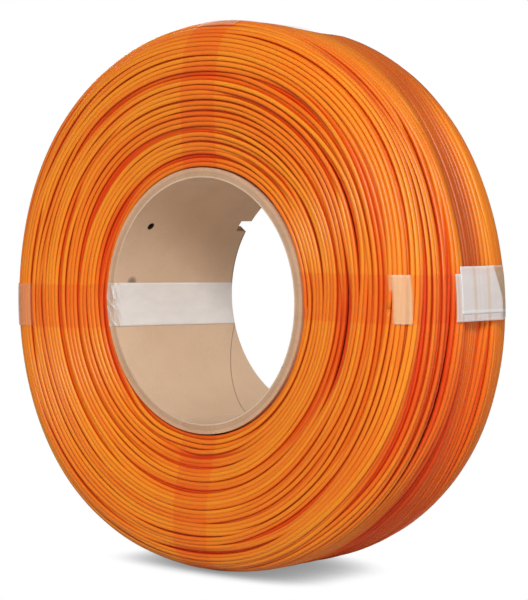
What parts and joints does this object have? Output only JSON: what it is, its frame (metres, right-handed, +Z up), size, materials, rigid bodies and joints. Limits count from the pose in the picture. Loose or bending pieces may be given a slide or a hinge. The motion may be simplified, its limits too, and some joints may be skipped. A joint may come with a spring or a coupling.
{
  "type": "filament spool",
  "caption": "Flangeless refill coil of filament wound on a bare cardboard core, held by bands of tape and standing on its edge.",
  "frame": {"origin": "centre of the core's bore, midway between the core's two ends", "axes": "+Y along the core's axis, away from the front face; +Z up, as the coil stands on its edge; +X to the right, seen from the front"},
  "size_m": [0.1851, 0.0657, 0.185],
  "materials": {
    "kraft_paper": "matt kraft paper",
    "core_board": "matt grey board",
    "filament": "satin orange extruded strand",
    "tape_film": "clear glossy film"
  },
  "bodies": {
    "root": {"core_liner": "kraft_paper", "core_board": "core_board", "core_wrap": "kraft_paper", "filament_pack": "filament", "filament_outer_layer": "filament", "filament_start": "filament", "tape_top": "tape_film", "tape_bottom": "tape_film", "tape_left": "tape_film", "tape_right": "tape_film"}
  },
  "joints": []
}
